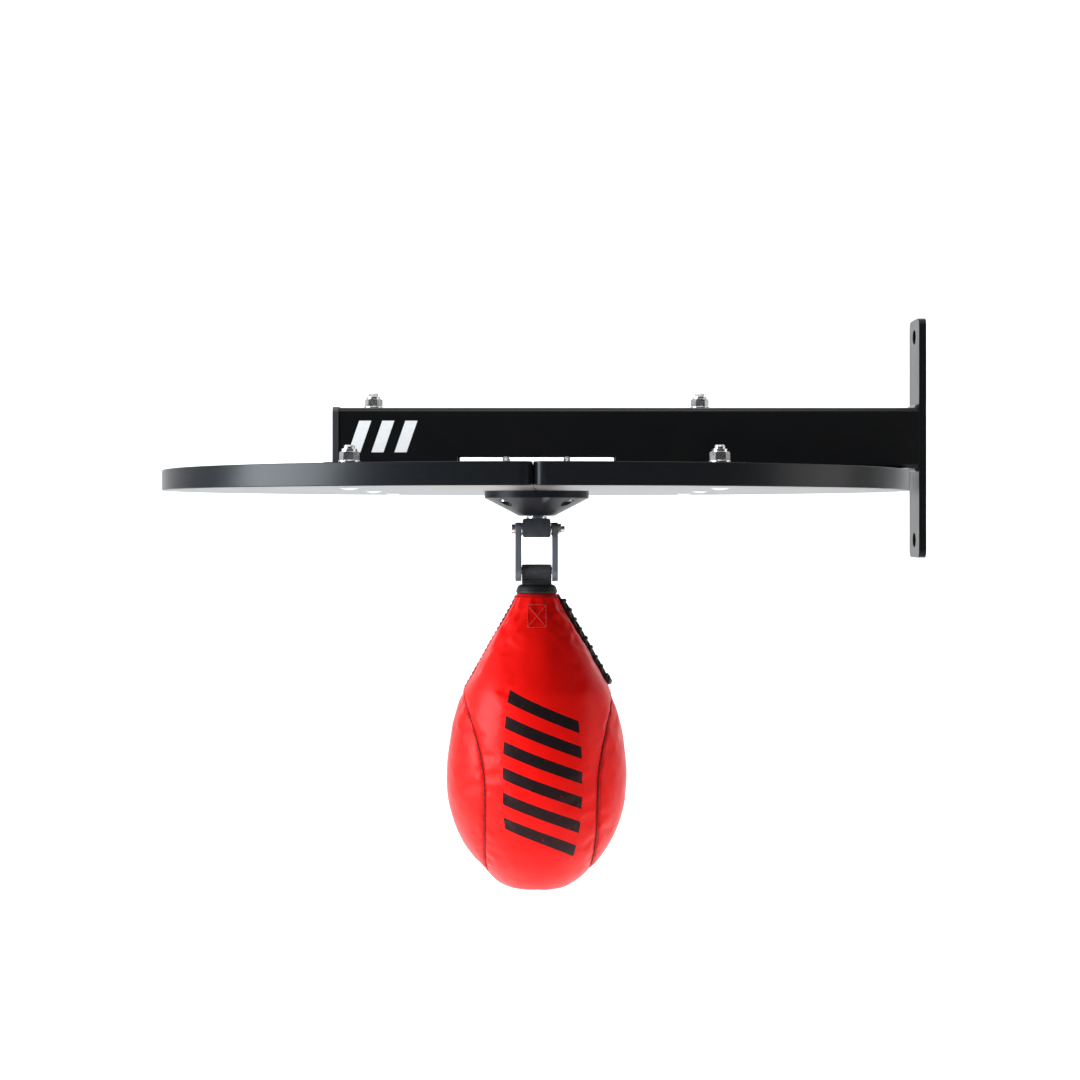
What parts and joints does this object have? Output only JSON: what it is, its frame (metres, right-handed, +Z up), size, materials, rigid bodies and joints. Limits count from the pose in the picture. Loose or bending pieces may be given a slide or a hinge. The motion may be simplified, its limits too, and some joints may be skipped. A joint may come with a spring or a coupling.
{
  "type": "speed bag platform",
  "caption": "Wall bracket with a cantilever arm and a round rebound board, from which a laced leather striking bag hangs on a ball-bearing swivel.",
  "frame": {"origin": "centre of the wall plate's back face, midway between its two bolt holes", "axes": "+X points into the wall, so the arm reaches towards -X; +Z is up; +Y runs sideways along the wall"},
  "size_m": [0.6259, 0.6098, 0.4703],
  "materials": {
    "powder_coat": "gloss black powder coat",
    "cap_plastic": "satin moulded plastic",
    "laminate": "black satin laminate on fibreboard",
    "edge_band": "satin plastic edging",
    "zinc": "bright zinc plate",
    "bearing_steel": "ground steel",
    "swivel_paint": "satin black over cast metal",
    "link_paint": "dark grey satin",
    "bronze": "plain bearing bronze",
    "webbing": "woven black webbing",
    "red_leather": "satin coated red leather",
    "black_leather": "satin black leather",
    "bladder_rubber": "natural latex",
    "valve_rubber": "matte black rubber"
  },
  "bodies": {
    "bracket": {"wall_plate": "powder_coat", "support_arm": "powder_coat", "arm_welds": "powder_coat", "arm_end_cap": "cap_plastic", "outer_cross_bar": "powder_coat", "wall_side_cross_bar": "powder_coat", "outer_board_half": "laminate", "wall_side_board_half": "laminate", "outer_edge_band": "edge_band", "wall_side_edge_band": "edge_band", "board_bolts": "zinc", "board_washers": "zinc", "board_nuts": "zinc", "arm_bolts": "zinc", "arm_washers": "zinc", "arm_nuts": "zinc", "swivel_flange": "swivel_paint", "swivel_screws": "zinc", "swivel_washers": "zinc", "swivel_nuts": "zinc", "lower_race": "bearing_steel"},
    "ball_set": {"bearing_balls": "bearing_steel", "bearing_cage": "bronze"},
    "swivel": {"upper_race": "bearing_steel", "swivel_spindle": "bearing_steel", "spindle_washer": "zinc", "spindle_nut": "zinc", "neck_washer": "bearing_steel", "swivel_block": "swivel_paint", "block_bushings": "bronze"},
    "hanger": {"left_link": "link_paint", "right_link": "link_paint", "pivot_bolt": "zinc", "pivot_nut": "zinc", "pivot_spacers": "zinc", "loop_pin": "bearing_steel"},
    "bag": {"webbing_loop": "webbing", "top_collar": "black_leather", "front_panel": "red_leather", "back_panel": "red_leather", "left_side_panel": "red_leather", "right_side_panel": "red_leather", "slit_binding": "black_leather", "slit_tongue": "black_leather", "bag_lace": "webbing", "bladder": "bladder_rubber", "bladder_valve": "valve_rubber"}
  },
  "joints": [
    {"name": "swivel_spin", "type": "hinge", "parent": "bracket", "child": "swivel", "pos_m": [-0.321, 0, -0.055], "axis": [0, 0, 1], "continuous": true},
    {"name": "ball_roll", "type": "hinge", "parent": "bracket", "child": "ball_set", "pos_m": [-0.321, 0, -0.055], "axis": [0, 0, 1], "continuous": true},
    {"name": "hanger_pivot", "type": "hinge", "parent": "swivel", "child": "hanger", "pos_m": [-0.321, 0, -0.0754], "axis": [1, 0, 0], "range_deg": [-50, 50]},
    {"name": "loop_swing", "type": "hinge", "parent": "hanger", "child": "bag", "pos_m": [-0.321, 0, -0.11], "axis": [1, 0, 0], "range_deg": [-25, 25]}
  ],
  "couplings": [
    {"joint": "ball_roll", "follows": "swivel_spin", "ratio": 0.5}
  ]
}
